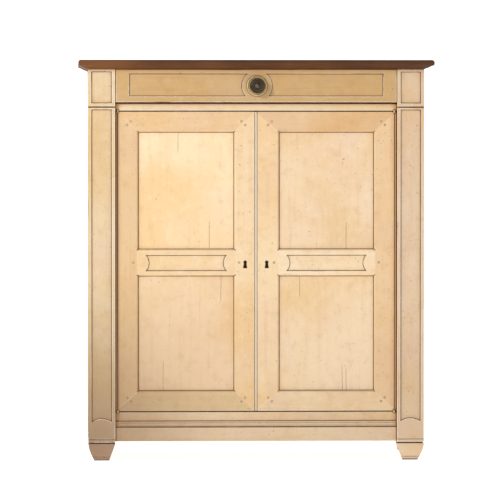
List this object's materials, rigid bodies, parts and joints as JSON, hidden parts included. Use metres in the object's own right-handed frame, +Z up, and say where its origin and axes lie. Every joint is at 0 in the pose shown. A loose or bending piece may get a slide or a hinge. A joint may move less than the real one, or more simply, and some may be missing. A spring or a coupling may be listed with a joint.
{
  "type": "armoire",
  "caption": "Low painted armoire with a full-width drawer over two framed and panelled doors, a stained overhanging top, corner posts and tapered feet.",
  "frame": {"origin": "on the floor under the middle of the top board's outline", "axes": "+Z up, -Y to the front (doors and drawer), +X to the right seen from the front"},
  "size_m": [1.174, 0.55, 1.323],
  "materials": {
    "cream_paint": "distressed satin paint",
    "stained_top": "stained satin",
    "bare_wood": "oiled",
    "aged_bronze": "aged",
    "aged_brass": "aged",
    "iron": "dark"
  },
  "bodies": {
    "carcass": {"top_board": "stained_top", "left_front_post": "cream_paint", "right_front_post": "cream_paint", "left_rear_post": "cream_paint", "right_rear_post": "cream_paint", "left_front_foot": "cream_paint", "right_front_foot": "cream_paint", "left_rear_foot": "cream_paint", "right_rear_foot": "cream_paint", "left_side_rails": "cream_paint", "right_side_rails": "cream_paint", "left_side_panels": "cream_paint", "right_side_panels": "cream_paint", "header_rail": "cream_paint", "top_front_rail": "bare_wood", "bottom_front_rail": "cream_paint", "plinth_board": "cream_paint", "back_rails": "bare_wood", "back_boards": "bare_wood", "floor_board": "bare_wood", "drawer_runners": "bare_wood", "dust_panel": "bare_wood", "upper_shelf": "bare_wood", "lower_shelf": "bare_wood", "shelf_cleats": "bare_wood", "door_stops": "bare_wood", "frame_hinge_plates": "aged_brass"},
    "drawer": {"drawer_front": "cream_paint", "drawer_left_side": "bare_wood", "drawer_right_side": "bare_wood", "drawer_back": "bare_wood", "drawer_bottom": "bare_wood", "knob_rosette": "aged_brass", "drawer_knob": "aged_bronze", "knob_bolt": "iron"},
    "left_door": {"left_hinge_stile": "cream_paint", "left_lock_stile": "cream_paint", "left_top_rail": "cream_paint", "left_middle_rail": "cream_paint", "left_bottom_rail": "cream_paint", "left_upper_panel": "cream_paint", "left_lower_panel": "cream_paint", "left_door_pegs": "cream_paint", "left_hinge_plates": "aged_brass", "left_lock_case": "iron", "left_rod_guides": "iron"},
    "right_door": {"right_hinge_stile": "cream_paint", "right_lock_stile": "cream_paint", "right_top_rail": "cream_paint", "right_middle_rail": "cream_paint", "right_bottom_rail": "cream_paint", "right_upper_panel": "cream_paint", "right_lower_panel": "cream_paint", "right_door_pegs": "cream_paint", "right_hinge_plates": "aged_brass", "right_lock_case": "iron"},
    "right_lock_bolt": {"right_lock_bolt": "iron"},
    "left_upper_rod": {"left_upper_rod": "iron"},
    "left_lower_rod": {"left_lower_rod": "iron"}
  },
  "joints": [
    {"name": "drawer_slide", "type": "slide", "parent": "carcass", "child": "drawer", "axis": [0, -1, 0], "range_m": [0, 0.34]},
    {"name": "left_door_hinge", "type": "hinge", "parent": "carcass", "child": "left_door", "pos_m": [-0.4575, -0.227, 0.6], "axis": [0, 0, -1], "range_deg": [0, 110]},
    {"name": "right_door_hinge", "type": "hinge", "parent": "carcass", "child": "right_door", "pos_m": [0.4575, -0.227, 0.6], "axis": [0, 0, 1], "range_deg": [0, 110]},
    {"name": "right_lock_bolt_slide", "type": "slide", "parent": "right_door", "child": "right_lock_bolt", "axis": [-1, 0, 0], "range_m": [0, 0.012]},
    {"name": "left_upper_rod_slide", "type": "slide", "parent": "left_door", "child": "left_upper_rod", "axis": [0, 0, 1], "range_m": [0, 0.012]},
    {"name": "left_lower_rod_slide", "type": "slide", "parent": "left_door", "child": "left_lower_rod", "axis": [0, 0, -1], "range_m": [0, 0.012]}
  ],
  "couplings": [
    {"joint": "left_lower_rod_slide", "follows": "left_upper_rod_slide", "ratio": 1}
  ]
}
